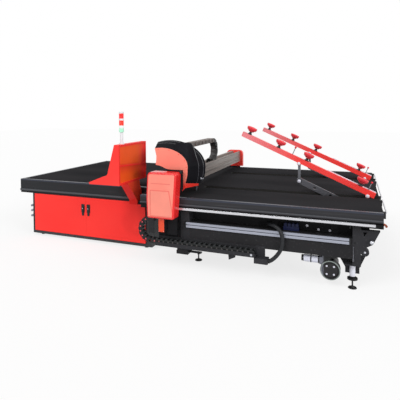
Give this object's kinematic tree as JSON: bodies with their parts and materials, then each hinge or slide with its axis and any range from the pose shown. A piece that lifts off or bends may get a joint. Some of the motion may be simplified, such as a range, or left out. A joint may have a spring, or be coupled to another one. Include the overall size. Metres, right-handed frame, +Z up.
{
  "type": "cnc glass cutting machine",
  "caption": "Flat-bed glass cutting table with a travelling gantry, cutting head, console, cabinet and tilting suction arms.",
  "frame": {"origin": "centre of the bounding box on the floor", "axes": "+X along the tables towards the loading end, +Y from the operator's side to the rear, +Z up"},
  "size_m": [5.068, 2.947, 1.85],
  "materials": {
    "boards": "clean",
    "felt": "clean",
    "edge_trim": "clean",
    "rail_beams": "clean",
    "cross_beams": "clean",
    "ext_frame": "clean",
    "guide_rails": "clean",
    "racks": "clean",
    "chords": "clean",
    "posts": "clean",
    "levelling_feet": "clean",
    "chain_tray": "clean",
    "cable_duct": "clean",
    "cabinet_carcass": "clean",
    "switchgear": "clean",
    "cable_glands": "clean",
    "door_left": "clean",
    "door_right": "clean",
    "latch_left": "clean",
    "latch_right": "clean",
    "console_neck": "clean",
    "console_shell": "clean",
    "console_screen": "clean",
    "console_keyboard": "clean",
    "estop_button": "clean",
    "tower_body": "clean",
    "tower_lens_red": "clean",
    "tower_lens_amber": "clean",
    "tower_lens_green": "clean",
    "blower": "clean",
    "blower_hose": "clean",
    "valve_block": "clean",
    "shaft_supports": "clean",
    "edge_bar": "clean",
    "x_chain_run": "clean",
    "x_chain_bend": "clean",
    "gantry_beam": "clean",
    "beam_end_cap": "clean",
    "beam_rails": "clean",
    "gantry_carriages": "clean",
    "drive_motors": "clean",
    "servo_cover": "clean",
    "chain_bracket": "clean",
    "front_pinion": "clean",
    "rear_pinion": "clean",
    "y_chain_run": "clean",
    "y_chain_bend": "clean",
    "y_chain_top": "clean",
    "head_carriage": "clean",
    "head_cheek": "clean",
    "head_shell": "clean",
    "cutter_slide": "clean",
    "cutter_holder": "clean",
    "lift_levers": "clean",
    "mid_links": "clean",
    "end_links": "clean",
    "suction_arms": "clean",
    "suction_cups": "clean",
    "sensor_rods": "clean",
    "cutting_wheel": "clean"
  },
  "bodies": {
    "frame": {"boards": "boards", "felt": "felt", "edge_trim": "edge_trim", "rail_beams": "rail_beams", "cross_beams": "cross_beams", "ext_frame": "ext_frame", "guide_rails": "guide_rails", "racks": "racks", "chords": "chords", "posts": "posts", "levelling_feet": "levelling_feet", "chain_tray": "chain_tray", "cable_duct": "cable_duct", "cabinet_carcass": "cabinet_carcass", "switchgear": "switchgear", "cable_glands": "cable_glands", "console_neck": "console_neck", "console_shell": "console_shell", "console_screen": "console_screen", "console_keyboard": "console_keyboard", "tower_body": "tower_body", "tower_lens_red": "tower_lens_red", "tower_lens_amber": "tower_lens_amber", "tower_lens_green": "tower_lens_green", "blower": "blower", "blower_hose": "blower_hose", "valve_block": "valve_block", "shaft_supports": "shaft_supports", "edge_bar": "edge_bar", "x_chain_run": "x_chain_run"},
    "gantry": {"gantry_beam": "gantry_beam", "beam_end_cap": "beam_end_cap", "beam_rails": "beam_rails", "gantry_carriages": "gantry_carriages", "drive_motors": "drive_motors", "servo_cover": "servo_cover", "chain_bracket": "chain_bracket", "y_chain_run": "y_chain_run"},
    "front_pinion": {"front_pinion": "front_pinion"},
    "rear_pinion": {"rear_pinion": "rear_pinion"},
    "x_chain_bend": {"x_chain_bend": "x_chain_bend"},
    "y_chain_bend": {"y_chain_bend": "y_chain_bend"},
    "head": {"head_carriage": "head_carriage", "head_cheek": "head_cheek", "head_shell": "head_shell", "y_chain_top": "y_chain_top"},
    "cutter_slide": {"cutter_slide": "cutter_slide"},
    "cutter_holder": {"cutter_holder": "cutter_holder"},
    "door_left": {"door_left": "door_left"},
    "door_right": {"door_right": "door_right"},
    "latch_left": {"latch_left": "latch_left"},
    "latch_right": {"latch_right": "latch_right"},
    "estop_button": {"estop_button": "estop_button"},
    "levers": {"lift_levers": "lift_levers"},
    "mid_links": {"mid_links": "mid_links"},
    "end_links": {"end_links": "end_links"},
    "suction_arms": {"suction_arms": "suction_arms", "suction_cups": "suction_cups", "sensor_rods": "sensor_rods"},
    "cutting_wheel": {"cutting_wheel": "cutting_wheel"}
  },
  "joints": [
    {"name": "gantry_travel", "type": "slide", "parent": "frame", "child": "gantry", "axis": [1, 0, 0], "range_m": [0, 0.7], "deforming": ["x_chain_run"]},
    {"name": "head_travel", "type": "slide", "parent": "gantry", "child": "head", "axis": [0, 1, 0], "range_m": [0, 2], "deforming": ["y_chain_run", "y_chain_top"]},
    {"name": "cutter_lift", "type": "slide", "parent": "head", "child": "cutter_slide", "axis": [0, 0, 1], "range_m": [0, 0.025]},
    {"name": "holder_turn", "type": "hinge", "parent": "cutter_slide", "child": "cutter_holder", "pos_m": [0.362, -0.8785, 0.901], "axis": [0, 0, 1], "continuous": true},
    {"name": "front_pinion_turn", "type": "hinge", "parent": "gantry", "child": "front_pinion", "pos_m": [0.123, -1.2935, 0.638], "axis": [0, -1, 0], "continuous": true},
    {"name": "rear_pinion_turn", "type": "hinge", "parent": "gantry", "child": "rear_pinion", "pos_m": [0.123, 1.3565, 0.638], "axis": [0, -1, 0], "continuous": true},
    {"name": "x_chain_roll", "type": "slide", "parent": "gantry", "child": "x_chain_bend", "axis": [1, 0, 0], "range_m": [-0.3501, 0]},
    {"name": "y_chain_roll", "type": "slide", "parent": "head", "child": "y_chain_bend", "axis": [0, 1, 0], "range_m": [-1.0001, 0]},
    {"name": "left_door", "type": "hinge", "parent": "frame", "child": "door_left", "pos_m": [-2.282, -0.8875, 0.35], "axis": [0, 0, -1], "range_deg": [0, 110]},
    {"name": "right_door", "type": "hinge", "parent": "frame", "child": "door_right", "pos_m": [-0.379, -0.8875, 0.35], "axis": [0, 0, 1], "range_deg": [0, 100]},
    {"name": "left_latch", "type": "hinge", "parent": "door_left", "child": "latch_left", "pos_m": [-1.3785, -0.8875, 0.478], "axis": [0, 1, 0], "range_deg": [0, 90]},
    {"name": "right_latch", "type": "hinge", "parent": "door_right", "child": "latch_right", "pos_m": [-1.2865, -0.8875, 0.478], "axis": [0, -1, 0], "range_deg": [0, 90]},
    {"name": "estop_press", "type": "slide", "parent": "frame", "child": "estop_button", "axis": [-0.3618, 0, 0.9322], "range_m": [-0.004, 0], "stiffness_N_per_m": 1500},
    {"name": "arms_flip", "type": "hinge", "parent": "frame", "child": "levers", "pos_m": [2.373, -0.5735, 0.635], "axis": [0, 1, 0], "range_deg": [-24, 71]},
    {"name": "link_swing", "type": "hinge", "parent": "levers", "child": "mid_links", "pos_m": [1.59649, -0.5735, 0.98073], "axis": [0, 1, 0], "range_deg": [-60, 0]},
    {"name": "arm_level", "type": "hinge", "parent": "mid_links", "child": "suction_arms", "pos_m": [1.59649, -0.5735, 1.20073], "axis": [0, 1, 0], "range_deg": [-0.01, 60.01]},
    {"name": "end_link_swing", "type": "hinge", "parent": "levers", "child": "end_links", "pos_m": [2.373, -0.5735, 0.635], "axis": [0, 1, 0], "range_deg": [-60.01, 0.01]},
    {"name": "wheel_roll", "type": "hinge", "parent": "cutter_holder", "child": "cutting_wheel", "pos_m": [0.362, -0.8785, 0.846], "axis": [0, 1, 0], "continuous": true}
  ],
  "couplings": [
    {"joint": "front_pinion_turn", "follows": "gantry_travel", "rad_per_m": 20},
    {"joint": "rear_pinion_turn", "follows": "gantry_travel", "rad_per_m": 20},
    {"joint": "x_chain_roll", "follows": "gantry_travel", "ratio": -0.5},
    {"joint": "y_chain_roll", "follows": "head_travel", "ratio": -0.5},
    {"joint": "arm_level", "follows": "link_swing", "ratio": -1},
    {"joint": "end_link_swing", "follows": "link_swing", "ratio": 1}
  ]
}
